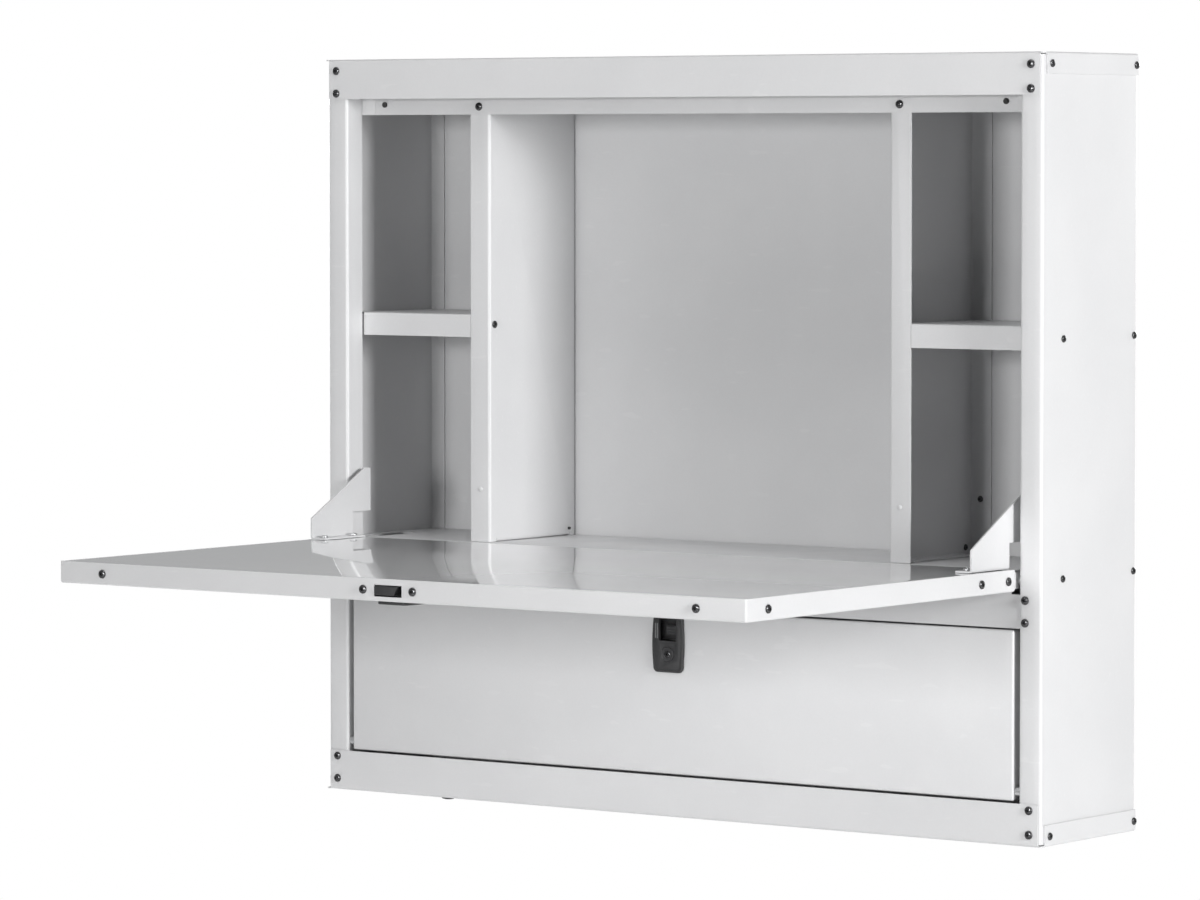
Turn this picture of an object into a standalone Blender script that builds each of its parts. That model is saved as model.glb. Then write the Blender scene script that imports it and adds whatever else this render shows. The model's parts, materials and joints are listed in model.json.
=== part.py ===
"""Wall-hung secretary desk: a folded sheet-steel cabinet, a drop-down work flap and a lower door.

Shapes are written in the desk's own coordinates, in metres: X across the front, Y into the wall
from the face of the corner posts, and Z up from the underside. The root empty then moves the desk
so that the world origin lies on the wall, at the middle of the cabinet's back.
"""
import math

import bmesh
import bpy
from mathutils import Matrix, Vector

# Overall sizes and sheet
CASE_WIDTH = 0.750
CASE_HEIGHT = 0.650
CASE_DEPTH = 0.150          # face of the corner posts to the wall
SHEET = 0.0012
FOLD_RADIUS = 0.0012        # inner radius of the case's folds
SMALL_FOLD_RADIUS = 0.0004
PAN_FOLD_RADIUS = 0.0006
REAR_FOLD_RADIUS = 0.0010   # of the flap pan's rear edge
BEND = SHEET + FOLD_RADIUS
SMALL_BEND = SHEET + SMALL_FOLD_RADIUS
PAN_BEND = SHEET + PAN_FOLD_RADIUS
FLAP_REAR_BEND = SHEET + REAR_FOLD_RADIUS
CLEAR = 0.0003              # gap between pieces that touch

# Caps
APRON = 0.035               # front apron of each cap
SIDE_APRON = 0.018
RELIEF = 0.0006             # width of the slit beside the end of a fold
SLIT = 1.25 * BEND          # length of that slit
SIDE_APRON_START = 0.0045

# Side panels with their corner posts
POST_WIDTH = 0.0215
REAR_FLANGE = 0.0155

# Top rail, dividers and shelves
RAIL_BELOW_APRON = 0.014
RAIL_TOP_FLANGE = 0.015
DIVIDER_SPACING = 0.420     # between the faces turned to the middle compartment
DIVIDER_FLANGE = 0.021
DIVIDER_FOOT = 0.018
FOOT_INSET = 0.0096         # from the channel's faces to the ends of its foot
SHELF_HEIGHT = 0.4255       # top of the two small shelves
SHELF_LIP = 0.020

# Floor of the desk compartment
FLOOR_HEIGHT = 0.2255       # top face
FLOOR_APRON = 0.047
FLOOR_SET_BACK = 0.0015
FLOOR_SIDE_FLANGE = 0.018
FLOOR_TAB_TOP = 0.0190      # the end tabs start this far below the floor's top
FLOOR_TAB_LENGTH = 0.0160   # reach of the end tabs behind the posts

# Work flap, given as it lies open
FLAP_RISE = 0.0015          # work surface above the floor
FLAP_THICKNESS = 0.0182
FLAP_GAP = 0.002            # to the top apron when closed
FLAP_SIDE_GAP = 0.0026
FLAP_SWING_GAP = 0.0004     # least gap between its rear face and the floor as it swings
FLAP_PIVOT_BACK = 0.009     # hinge axis behind the post face
WORK_FLANGE = 0.004
ARM_SHEET = 0.0020
ARM_LENGTH = 0.069          # hinge axis to the front end of the arm
ARM_RADIUS = 0.0068

# Stay brackets, given as (behind the post face, above the work surface)
STAY_SHEET = 0.0015
STAY_FRONT = -0.061
STAY_FRONT_HEIGHT = 0.019
STAY_HEIGHT = 0.060
STAY_KNEE = 0.013
STAY_HEEL = -0.0038
STAY_TAB_LOW = 0.022        # lower end of the tab that hooks behind the post
STAY_HOOK = 0.004           # reach of the tab past the post's flange
STAY_FOOT = 0.015
STAY_INSET = 0.0052         # from the flap's side to the bracket's middle plane
SLOT_ROOM = 0.0045          # round the tab's path through the floor's slot, before and behind
SLOT_SIDE_ROOM = 0.0015

# Lower door
DOOR_SIDE_GAP = 0.0053
DOOR_TOP_GAP = 0.0016
DOOR_BOTTOM_GAP = 0.0015
DOOR_THICKNESS = 0.0172
LINER_FLANGE = 0.004
DOOR_PIVOT_BACK = 0.0065
DOOR_PIVOT_UP = 0.0075      # hinge axis above the door's lower edge

# Latches, in a frame on the leaf: X across, Y out to its free edge, Z out of its face
LATCH_WIDTH = 0.033
LATCH_LENGTH = 0.049
LATCH_FROM_EDGE = 0.004
LATCH_PROUD = 0.0028
LATCH_RADIUS = 0.004
POCKET_MARGIN = 0.0075      # from the housing's side to its finger pocket
POCKET_LENGTH = 0.019
POCKET_FROM_EDGE = 0.007
BOLT_MARGIN = 0.0031        # from the housing's side to the bolt's
BOLT_THICKNESS = 0.0076
BOLT_DEPTH = 0.0051         # bolt's near side below the leaf's face
BOLT_PROUD = 0.0008         # bolt past the leaf's edge when drawn back
BOLT_TRAVEL = 0.005
KEY_DIAMETER = 0.0126
KEY_FROM_EDGE = 0.0375
BARREL_MARGIN = 0.0065      # from the housing's side to the barrel's, where the spring lies
BARREL_DEPTH = 0.013
BARREL_FROM_FOOT = 0.003
SPRING_DIAMETER = 0.0044
SPRING_WIRE = 0.0005
SPRING_TURNS = 6
SPRING_LEDGE = 0.003

# Pins and screws
PIN_DIAMETER = 0.006
COLLAR_DIAMETER = 0.0095
PIN_INNER = 0.0042          # pin past the inner side of its collar
PIN_OUTER = 0.0035
SCREW_HEAD = 0.0073
SCREW_HEAD_HEIGHT = 0.0019
SCREW_SHANK = 0.0035
SCREW_LENGTH = 0.0042
APRON_SCREW_INSET = 0.012   # from the cap's side to the screws of its front apron
APRON_SCREWS = (0.010, 0.030)
TAB_SCREW_INSET = 0.006     # from the post's inner edge
TAB_SCREWS = (0.0235, 0.0420)
ARM_SCREWS = (-0.053, -0.0125)
WALL_HOLE = 0.007
WALL_HOLE_INSET = 0.035     # from the middle compartment's side to the wall holes
WALL_HOLE_DROP = 0.035      # lower wall holes below the door's upper edge
BUMPER_DIAMETER = 0.005
BUMPER_HEIGHT = 0.0022
BUMPER_INSET = 0.024        # from the flap's side
BUMPER_DROP = 0.005         # below the top apron
PLUG_HEAD = 0.013
PLUG_HEAD_HEIGHT = 0.0020
PLUG_SHANK = 0.0074
PLUG_LENGTH = 0.0040
PLUG_PLACE = (-0.245, 0.008)  # in the underside: X, and Y behind the post face
DRILL = 0.016               # length of the tools that bore the holes
TINY = 1e-6                 # points closer than this are one

PAINT_GREY = (0.78, 0.78, 0.79, 1.0)
GLOSS_WHITE = (0.80, 0.81, 0.82, 1.0)
BLACK_PLASTIC = (0.02, 0.02, 0.022, 1.0)
BLACK_STEEL = (0.03, 0.03, 0.032, 1.0)
BARE_STEEL = (0.60, 0.60, 0.61, 1.0)
RUBBER = (0.03, 0.03, 0.03, 1.0)
PAINT = (PAINT_GREY, 0.45, 0.0)    # colour, roughness and metallic value
BLACK_SCREW = (BLACK_STEEL, 0.35, 0.8)
BRIGHT_SCREW = (BARE_STEEL, 0.3, 1.0)

# Places that follow from the sizes above
FOLD_ROOM = CLEAR + FOLD_RADIUS / 2                 # gap that clears the inside of a fold
POST_OUTER = CASE_WIDTH / 2 - SHEET - CLEAR
POST_INNER = POST_OUTER - POST_WIDTH
BACK_FACE = CASE_DEPTH - SHEET - CLEAR
REAR_EDGE = BACK_FACE - SHEET - FOLD_ROOM
APRON_FACE = -SHEET - CLEAR
PANEL_LOW = SHEET + FOLD_ROOM
PANEL_HIGH = CASE_HEIGHT - PANEL_LOW
RAIL_LOW = CASE_HEIGHT - APRON - RAIL_BELOW_APRON
FLAP_TOP = FLOOR_HEIGHT + FLAP_RISE
FLAP_BOTTOM = FLAP_TOP - FLAP_THICKNESS
FLAP_PIVOT = Vector((0, FLAP_PIVOT_BACK, FLAP_BOTTOM + FLAP_PIVOT_BACK))
RAIL_SET_BACK = FLAP_PIVOT_BACK + FLAP_TOP - FLAP_PIVOT.z + BUMPER_HEIGHT + 2 * CLEAR
POST_RETURN = RAIL_SET_BACK                         # the post's return flange ends at the rail's face
DIVIDER_FACE = RAIL_SET_BACK + SHEET + CLEAR
FLOOR_FOLD = math.hypot(FLAP_PIVOT.y - FLOOR_SET_BACK - BEND, FLOOR_HEIGHT - BEND - FLAP_PIVOT.z) + BEND
FLAP_REAR = FLAP_PIVOT.y - FLOOR_FOLD - FLAP_SWING_GAP
FLAP_HALF = POST_INNER - FLAP_SIDE_GAP
FLAP_FRONT = FLAP_PIVOT.z + FLAP_PIVOT_BACK - (CASE_HEIGHT - APRON - FLAP_GAP)
ARM_FACE = FLAP_HALF - SHEET - CLEAR
STAY_PLANE = FLAP_HALF - STAY_INSET
DOOR_HALF = POST_INNER - DOOR_SIDE_GAP
DOOR_LOW = APRON + DOOR_BOTTOM_GAP
DOOR_HIGH = FLOOR_HEIGHT - FLOOR_APRON - DOOR_TOP_GAP
DOOR_PIVOT = Vector((0, DOOR_PIVOT_BACK, DOOR_LOW + DOOR_PIVOT_UP))
SIDES = (("left", -1), ("right", 1))
UP = Vector((0, 0, 1))
UPRIGHT = Matrix.Rotation(math.pi / 2, 4, "X")


class Body:
    """What moves as one: an empty on the joint's axis, and where it stands in its own coordinates."""

    def __init__(self, name, parent=None, at=(0, 0, 0), turn=None, offset=(0, 0, 0)):
        self.origin = Vector(offset)
        self.empty = bpy.data.objects.new(name, None)
        self.empty.empty_display_size = 0.03
        model.objects.link(self.empty)
        if parent:
            self.empty.parent = parent.empty
            self.empty.location = Vector(at) - parent.origin
        else:
            self.empty.location = at
        if turn:
            self.empty.rotation_euler = turn


class Part:
    """One piece with the boxes and bores that are cut from it."""

    def __init__(self, obj, body):
        self.obj = obj
        self.body = body
        self.tools = bmesh.new()

    def cut_box(self, low, high):
        add_box(self.tools, low, high)

    def bore(self, centre, axis, diameter, length=DRILL):
        turn = UP.rotation_difference(Vector(axis)).to_matrix().to_4x4()
        bmesh.ops.create_cone(self.tools, cap_ends=True, segments=20, radius1=diameter / 2,
                              radius2=diameter / 2, depth=length, matrix=Matrix.Translation(centre) @ turn)

    def finish(self):
        if self.tools.verts:
            combine(self.obj, mesh_object(self.obj.name + "_cuts", self.tools, self.body, cutters))


def add_box(mesh, low, high):
    low, high = Vector(low), Vector(high)
    low, high = (Vector(map(min, low, high)), Vector(map(max, low, high)))
    place = Matrix.Translation((low + high) / 2) @ Matrix.Diagonal((*(high - low), 1))
    bmesh.ops.create_cube(mesh, size=1, matrix=place)


def make_material(name, colour, roughness, metallic):
    material = bpy.data.materials.new(name)
    material.use_nodes = True
    shader = material.node_tree.nodes["Principled BSDF"]
    shader.inputs["Base Color"].default_value = colour
    shader.inputs["Roughness"].default_value = roughness
    shader.inputs["Metallic"].default_value = metallic
    material.diffuse_color = colour
    return material


def mesh_object(name, mesh, body, collection):
    """Turn a bmesh in the body's coordinates into an object that hangs on the body's empty."""
    bmesh.ops.translate(mesh, vec=-body.origin, verts=mesh.verts)
    data = bpy.data.meshes.new(name)
    mesh.to_mesh(data)
    mesh.free()
    obj = bpy.data.objects.new(name, data)
    obj.parent = body.empty
    collection.objects.link(obj)
    if collection == cutters:
        obj.hide_render = True
        obj.display_type = "WIRE"
    return obj


def add_part(name, mesh, body, material):
    """Make a named piece, with its own material."""
    obj = mesh_object(name, mesh, body, model)
    obj.data.materials.append(make_material(name, *material))
    part = Part(obj, body)
    parts[name] = part
    return part


def combine(obj, tool, operation="DIFFERENCE"):
    boolean = obj.modifiers.new(tool.name, "BOOLEAN")
    boolean.operation = operation
    boolean.solver = "EXACT"
    boolean.use_self = True
    boolean.object = tool


def orient(mesh, outward):
    """Give an open sheet one outer side, turned as its largest face should be."""
    bmesh.ops.recalc_face_normals(mesh, faces=mesh.faces)
    mesh.normal_update()
    largest = max(mesh.faces, key=lambda face: face.calc_area())
    if largest.normal.dot(Vector(outward)) < 0:
        bmesh.ops.reverse_faces(mesh, faces=mesh.faces)


def flat_sheet(x_range, y_range, z, x_lines=(), y_lines=()):
    """A flat sheet, divided where its reliefs start."""
    mesh = bmesh.new()
    bmesh.ops.create_grid(mesh, x_segments=1, y_segments=1, size=0.5)
    size = (x_range[1] - x_range[0], y_range[1] - y_range[0], 1)
    bmesh.ops.scale(mesh, vec=size, verts=mesh.verts)
    bmesh.ops.translate(mesh, vec=(sum(x_range) / 2, sum(y_range) / 2, z), verts=mesh.verts)
    split(mesh, 0, x_lines)
    split(mesh, 1, y_lines)
    return mesh


def split(mesh, axis, lines):
    """Divide a sheet's faces at places along one axis."""
    normal = [0, 0, 0]
    normal[axis] = 1
    for line in lines:
        everything = mesh.verts[:] + mesh.edges[:] + mesh.faces[:]
        bmesh.ops.bisect_plane(mesh, geom=everything, plane_co=Vector(normal) * line, plane_no=normal)


def drop_faces(mesh, test):
    """Cut away the cells whose middle passes the test."""
    doomed = [face for face in mesh.faces if test(face.calc_center_median())]
    bmesh.ops.delete(mesh, geom=doomed, context="FACES")


def round_corners(mesh, points, radius):
    verts = [v for v in mesh.verts if any((v.co - Vector(p)).length < TINY for p in points)]
    bmesh.ops.bevel(mesh, geom=verts, affect="VERTICES", offset=radius, segments=4, profile=0.5)


def fold(mesh, low, high, *steps):
    """Turn a flange up from the free edges in a box, with one more bend for each step."""
    reach = 1e-5

    def inside(point):
        return all(low[i] - reach <= point[i] <= high[i] + reach for i in range(3))

    edges = [e for e in mesh.edges if e.is_boundary and all(inside(v.co) for v in e.verts)]
    for step in steps:
        grown = bmesh.ops.extrude_edge_only(mesh, edges=edges)["geom"]
        verts = [item for item in grown if isinstance(item, bmesh.types.BMVert)]
        bmesh.ops.translate(mesh, vec=step, verts=verts)
        edges = [item for item in grown if isinstance(item, bmesh.types.BMEdge)]
        edges = [e for e in edges if e.is_boundary and all(v in verts for v in e.verts)]


def profile_sheet(points, travel):
    """A strip with the cross-section that the points give, extruded along travel."""
    mesh = bmesh.new()
    verts = [mesh.verts.new(point) for point in points]
    edges = [mesh.edges.new(pair) for pair in zip(verts, verts[1:])]
    grown = bmesh.ops.extrude_edge_only(mesh, edges=edges)["geom"]
    far = [item for item in grown if isinstance(item, bmesh.types.BMVert)]
    bmesh.ops.translate(mesh, vec=travel, verts=far)
    return mesh


def bend_sheet(part, radius=BEND, thickness=SHEET, offset=-1):
    """Round the folds of an open surface and give it the sheet's thickness on its inner side."""
    bevel = part.obj.modifiers.new("folds", "BEVEL")
    bevel.width = radius
    bevel.segments = 4
    bevel.limit_method = "ANGLE"
    bevel.angle_limit = math.radians(30)
    bevel.use_clamp_overlap = False
    thicken(part, thickness, offset)


def thicken(part, thickness, offset):
    solid = part.obj.modifiers.new("sheet", "SOLIDIFY")
    solid.thickness = thickness
    solid.offset = offset
    solid.use_even_offset = True


def outline_data(name, outline):
    """The outline of a turned piece, from the top of its axis down to the bottom."""
    mesh = bmesh.new()
    verts = [mesh.verts.new((radius, 0, height)) for radius, height in outline]
    for pair in zip(verts, verts[1:]):
        mesh.edges.new(pair)
    data = bpy.data.meshes.new(name)
    mesh.to_mesh(data)
    mesh.free()
    return data


def turned(name, body, outline, at, axis, material, steps=20):
    turned_copy(name, outline_data(name, outline), body, at, axis, material, steps)


def turned_copy(name, data, body, at, axis, material, steps):
    """Turn an outline about an axis through a place; copies may share the outline."""
    obj = bpy.data.objects.new(name, data)
    obj.parent = body.empty
    obj.location = Vector(at) - body.origin
    obj.rotation_euler = UP.rotation_difference(Vector(axis)).to_euler()
    model.objects.link(obj)
    if not data.materials:
        data.materials.append(None)
    obj.material_slots[0].link = "OBJECT"
    obj.material_slots[0].material = make_material(name, *material)
    screw = obj.modifiers.new("turned", "SCREW")
    screw.axis = "Z"
    screw.steps = steps
    screw.render_steps = steps
    screw.use_merge_vertices = True
    screw.merge_threshold = 0.00001
    screw.use_smooth_shade = True


def screw_outline():
    dome = [(SCREW_HEAD / 2 * math.sin(a), SCREW_HEAD_HEIGHT * (0.4 + 0.6 * math.cos(a)))
            for a in (math.radians(step) for step in (0, 30, 60, 90))]
    shank = SCREW_SHANK / 2
    outline = dome + [(SCREW_HEAD / 2, 0), (shank, 0), (shank, -SCREW_LENGTH), (0, -SCREW_LENGTH)]
    return [(radius, height + CLEAR) for radius, height in outline]


def fasten(name, body, at, axis, drilled, material=BLACK_SCREW):
    """Put a pan-head screw on a face and bore its clearance hole through the pieces it holds."""
    turned_copy(name, screw_data, body, at, axis, material, 16)
    for part_name in drilled:
        parts[part_name].bore(at, axis, SCREW_SHANK + 2 * CLEAR)


def make_cap(name, top):
    """A tray over the top or the underside, with a deep front apron and shallow side aprons."""
    half = CASE_WIDTH / 2
    level = CASE_HEIGHT if top else 0
    inward = -1 if top else 1
    ear = half - SLIT
    front_end = ear - RELIEF
    front_slit = APRON_FACE + SLIT
    side_start = SIDE_APRON_START
    side_end = CASE_DEPTH - 2 * SHEET
    mesh = flat_sheet((-half, half), (APRON_FACE, CASE_DEPTH), level,
                      (-ear, -front_end, front_end, ear),
                      (front_slit, side_start - RELIEF, side_start, side_end))

    def relief(middle):
        x = abs(middle.x)
        beside_front = front_end < x < ear and middle.y < front_slit
        beside_side = x > ear and side_start - RELIEF < middle.y < side_start
        return beside_front or beside_side or x > ear and middle.y > side_end

    drop_faces(mesh, relief)
    round_corners(mesh, [(sign * half, APRON_FACE, level) for sign in (-1, 1)], BEND / 2)
    fold(mesh, (-front_end, APRON_FACE, level), (front_end, APRON_FACE, level), (0, 0, inward * APRON))
    for sign in (-1, 1):
        x = sign * half
        fold(mesh, (x, side_start, level), (x, side_end, level), (0, 0, inward * SIDE_APRON))
    orient(mesh, (0, 0, -inward))
    part = add_part(name, mesh, cabinet, PAINT)
    bend_sheet(part)
    if not top:
        part.bore((*PLUG_PLACE, level), UP, PLUG_SHANK + 2 * CLEAR)


def make_back_panel():
    """The flat back, with stiffening flanges at its top and foot and four wall holes."""
    width = POST_OUTER - BEND
    flange = POST_OUTER - REAR_FLANGE - 2 * BEND
    slit = flange + RELIEF
    ends = (PANEL_LOW + SLIT, PANEL_HIGH - SLIT)
    mesh = flat_sheet((-width, width), (PANEL_LOW, PANEL_HIGH), 0, (-slit, -flange, flange, slit), ends)
    drop_faces(mesh, lambda m: flange < abs(m.x) < slit and not ends[0] < m.y < ends[1])
    for height in (PANEL_LOW, PANEL_HIGH):
        fold(mesh, (-flange, height, 0), (flange, height, 0), (0, 0, REAR_FLANGE))
    bmesh.ops.transform(mesh, matrix=Matrix.Translation((0, CASE_DEPTH, 0)) @ UPRIGHT, verts=mesh.verts)
    orient(mesh, (0, 1, 0))
    part = add_part("back_panel", mesh, cabinet, PAINT)
    bend_sheet(part)
    for sign in (-1, 1):
        for height in (DOOR_HIGH - WALL_HOLE_DROP, CASE_HEIGHT - APRON / 2 - REAR_FLANGE / 2):
            at = (sign * (DIVIDER_SPACING / 2 - WALL_HOLE_INSET), CASE_DEPTH, height)
            part.bore(at, (0, 1, 0), WALL_HOLE)


def make_side_panel(side, sign):
    """A side with its corner post, the post's return flange and the rear flange, folded in one."""
    outline = [(POST_INNER, POST_RETURN), (POST_INNER, 0), (POST_OUTER, 0), (POST_OUTER, BACK_FACE),
               (POST_OUTER - REAR_FLANGE, BACK_FACE)]
    points = [(sign * x, y, PANEL_LOW) for x, y in outline]
    mesh = profile_sheet(points, (0, 0, PANEL_HIGH - PANEL_LOW))
    orient(mesh, (sign, 0, 0))
    part = add_part("side_panel_" + side, mesh, cabinet, PAINT)
    bend_sheet(part)
    slot_low = FLOOR_HEIGHT - FLOOR_APRON - CLEAR
    slot_high = FLOOR_HEIGHT - FLOOR_TAB_TOP + CLEAR
    part.cut_box((sign * (POST_INNER - CLEAR), FLOOR_SET_BACK - CLEAR / 2, slot_low),
                 (sign * (POST_INNER + 2 * BEND), FLOOR_SET_BACK + SHEET + CLEAR, slot_high))
    for pivot in (FLAP_PIVOT, DOOR_PIVOT):
        part.bore((sign * POST_INNER, pivot.y, pivot.z), (1, 0, 0), PIN_DIAMETER + 2 * CLEAR)


def make_floor():
    """The desk compartment's floor: the stays pass its slots, and its tabs screw to the posts."""
    side = POST_OUTER - SHEET - CLEAR
    notch = STAY_PLANE - STAY_SHEET / 2 - CLEAR
    notch_depth = POST_RETURN + 4 * CLEAR
    tab = POST_INNER + FLOOR_TAB_LENGTH
    mesh = flat_sheet((-side, side), (FLOOR_SET_BACK, REAR_EDGE), FLOOR_HEIGHT,
                      (-notch, notch), (notch_depth,))
    drop_faces(mesh, lambda middle: abs(middle.x) > notch and middle.y < notch_depth)
    front = FLOOR_SET_BACK
    fold(mesh, (-notch, front, FLOOR_HEIGHT), (notch, front, FLOOR_HEIGHT),
         (0, 0, -FLOOR_TAB_TOP), (0, 0, FLOOR_TAB_TOP - FLOOR_APRON))
    tab_top = FLOOR_HEIGHT - FLOOR_TAB_TOP
    tab_low = FLOOR_HEIGHT - FLOOR_APRON
    for sign in (-1, 1):
        fold(mesh, (sign * notch, front, tab_low), (sign * notch, front, tab_top),
             (sign * (tab - notch), 0, 0))
        fold(mesh, (sign * side, notch_depth, FLOOR_HEIGHT), (sign * side, REAR_EDGE, FLOOR_HEIGHT),
             (0, 0, -FLOOR_SIDE_FLANGE))
    orient(mesh, (0, 0, 1))
    part = add_part("mid_floor", mesh, cabinet, PAINT)
    bend_sheet(part)
    slot_front = FLAP_PIVOT_BACK + STAY_TAB_LOW + FLAP_TOP - FLAP_PIVOT.z - SLOT_ROOM
    tab_back = POST_RETURN + STAY_SHEET + 2 * CLEAR - FLAP_PIVOT_BACK
    tab_swing = math.hypot(STAY_HEIGHT + FLAP_TOP - FLAP_PIVOT.z, tab_back)
    slot_rear = FLAP_PIVOT_BACK + tab_swing + SLOT_ROOM
    slot_outer = POST_INNER + SHEET + STAY_HOOK + SLOT_SIDE_ROOM
    for sign in (-1, 1):
        part.cut_box((sign * (STAY_PLANE - STAY_SHEET), slot_front, FLOOR_HEIGHT - BEND),
                     (sign * slot_outer, slot_rear, FLOOR_HEIGHT + BEND))


def make_top_rail():
    """The rail that the flap closes against, behind the top apron."""
    half = POST_INNER - CLEAR
    outline = [(RAIL_SET_BACK, RAIL_LOW), (RAIL_SET_BACK, PANEL_HIGH),
               (RAIL_SET_BACK + RAIL_TOP_FLANGE, PANEL_HIGH)]
    mesh = profile_sheet([(-half, y, z) for y, z in outline], (2 * half, 0, 0))
    orient(mesh, (0, -1, 0))
    bend_sheet(add_part("top_rail", mesh, cabinet, PAINT))


def make_divider(side, sign):
    """A channel, open to the side compartment, with a foot on the floor."""
    web = DIVIDER_SPACING / 2
    edge = web + DIVIDER_FLANGE
    low = FLOOR_HEIGHT + CLEAR
    high = PANEL_HIGH - SHEET - 2 * CLEAR
    outline = [(edge, DIVIDER_FACE), (web, DIVIDER_FACE), (web, BACK_FACE), (edge, BACK_FACE)]
    mesh = profile_sheet([(sign * x, y, low) for x, y in outline], (0, 0, high - low))
    foot = (DIVIDER_FACE + FOOT_INSET, BACK_FACE - FOOT_INSET)
    split(mesh, 1, (foot[0] - RELIEF, foot[0], foot[1], foot[1] + RELIEF))
    split(mesh, 2, (low + SLIT,))
    drop_faces(mesh, lambda m: m.z < low + SLIT and (foot[0] - RELIEF < m.y < foot[0]
                                                     or foot[1] < m.y < foot[1] + RELIEF))
    fold(mesh, (sign * web, foot[0], low), (sign * web, foot[1], low), (sign * DIVIDER_FOOT, 0, 0))
    orient(mesh, (-sign, 0, 0))
    bend_sheet(add_part("divider_" + side, mesh, cabinet, PAINT))


def make_shelf(side, sign):
    """A small shelf between a divider and the side, with a lip on its front edge."""
    inner = DIVIDER_SPACING / 2 + SHEET + CLEAR
    outer = POST_OUTER - SHEET - CLEAR
    lip_inner = DIVIDER_SPACING / 2 + DIVIDER_FLANGE + CLEAR
    lip_outer = POST_INNER - 2 * CLEAR
    step = DIVIDER_FACE + 2 * SMALL_BEND
    x_range = sorted((sign * inner, sign * outer))
    mesh = flat_sheet(x_range, (DIVIDER_FACE, REAR_EDGE), SHELF_HEIGHT,
                      (sign * lip_inner, sign * lip_outer), (step,))
    drop_faces(mesh, lambda m: m.y < step and not lip_inner < abs(m.x) < lip_outer)
    lip = sorted((sign * lip_inner, sign * lip_outer))
    fold(mesh, (lip[0], DIVIDER_FACE, SHELF_HEIGHT), (lip[1], DIVIDER_FACE, SHELF_HEIGHT),
         (0, 0, -SHELF_LIP))
    for x in x_range:
        fold(mesh, (x, step, SHELF_HEIGHT), (x, REAR_EDGE, SHELF_HEIGHT), (0, 0, -SHELF_LIP))
    orient(mesh, (0, 0, 1))
    bend_sheet(add_part("shelf_" + side, mesh, cabinet, PAINT), SMALL_BEND)


def make_bumper(side, sign):
    """A rubber bumper on the top rail, where the closed flap stops."""
    height = BUMPER_HEIGHT
    radius = BUMPER_DIAMETER / 2
    outline = [(0, height), (0.7 * radius, height), (radius, 0.6 * height), (radius, 0), (0, 0)]
    at = (sign * (FLAP_HALF - BUMPER_INSET), RAIL_SET_BACK - CLEAR, CASE_HEIGHT - APRON - BUMPER_DROP)
    turned("rail_bumper_" + side, cabinet, outline, at, (0, -1, 0), (RUBBER, 0.8, 0.0))


def make_plug():
    """A rubber plug in the underside."""
    head = PLUG_HEAD / 2
    shank = PLUG_SHANK / 2
    outline = [(0, PLUG_HEAD_HEIGHT), (0.55 * head, 0.9 * PLUG_HEAD_HEIGHT),
               (0.9 * head, 0.55 * PLUG_HEAD_HEIGHT), (head, CLEAR), (shank, CLEAR),
               (shank, -PLUG_LENGTH), (0, -PLUG_LENGTH)]
    turned("underside_plug", cabinet, outline, (*PLUG_PLACE, 0), (0, 0, -1), (RUBBER, 0.8, 0.0))


def open_box(low, high, *missing):
    """The walls of a welded pan: a box without the faces that look along the given directions."""
    mesh = bmesh.new()
    add_box(mesh, low, high)
    bmesh.ops.recalc_face_normals(mesh, faces=mesh.faces)
    gone = [f for f in mesh.faces if any(f.normal.dot(Vector(way)) > 0.9 for way in missing)]
    bmesh.ops.delete(mesh, geom=gone, context="FACES")
    return mesh


def plate(points, thickness_axis):
    """A flat plate's middle surface, from its outline."""
    mesh = bmesh.new()
    mesh.faces.new([mesh.verts.new(point) for point in points])
    orient(mesh, thickness_axis)
    return mesh


def make_flap_pan():
    """The flap's outer pan, whose broad face is the front of the closed desk."""
    mesh = open_box((-FLAP_HALF, FLAP_FRONT, FLAP_BOTTOM), (FLAP_HALF, FLAP_REAR, FLAP_TOP), (0, 0, 1))
    corner = [e for e in mesh.edges
              if all(abs(v.co.y - FLAP_REAR) < TINY and abs(v.co.z - FLAP_BOTTOM) < TINY for v in e.verts)]
    bmesh.ops.bevel(mesh, geom=corner, affect="EDGES", offset=FLAP_REAR_BEND, segments=6, profile=0.5)
    orient(mesh, (0, 0, -1))
    part = add_part("flap_pan", mesh, flap, PAINT)
    bend_sheet(part, PAN_BEND)
    for sign in (-1, 1):
        part.cut_box((sign * (STAY_PLANE - STAY_SHEET), FLAP_REAR - SHEET - ARM_SHEET, FLAP_BOTTOM + SHEET),
                     (sign * (FLAP_HALF - SHEET), FLAP_REAR + ARM_SHEET, FLAP_TOP + SHEET))


def make_work_surface():
    """The glossy tray that is let into the pan from above."""
    half = ARM_FACE
    front = FLAP_FRONT + SHEET + CLEAR
    rear = FLAP_REAR - SHEET - CLEAR
    mesh = open_box((-half, front, FLAP_TOP - WORK_FLANGE), (half, rear, FLAP_TOP), (0, 0, -1))
    orient(mesh, (0, 0, 1))
    part = add_part("work_surface", mesh, flap, (GLOSS_WHITE, 0.06, 0.0))
    bend_sheet(part, SMALL_BEND)
    arm_top = FLAP_TOP - SHEET - CLEAR
    for sign in (-1, 1):
        part.cut_box((sign * (half - ARM_SHEET - CLEAR), -ARM_LENGTH, FLAP_TOP - 2 * WORK_FLANGE),
                     (sign * (half + SHEET), ARM_SHEET, arm_top))


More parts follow.
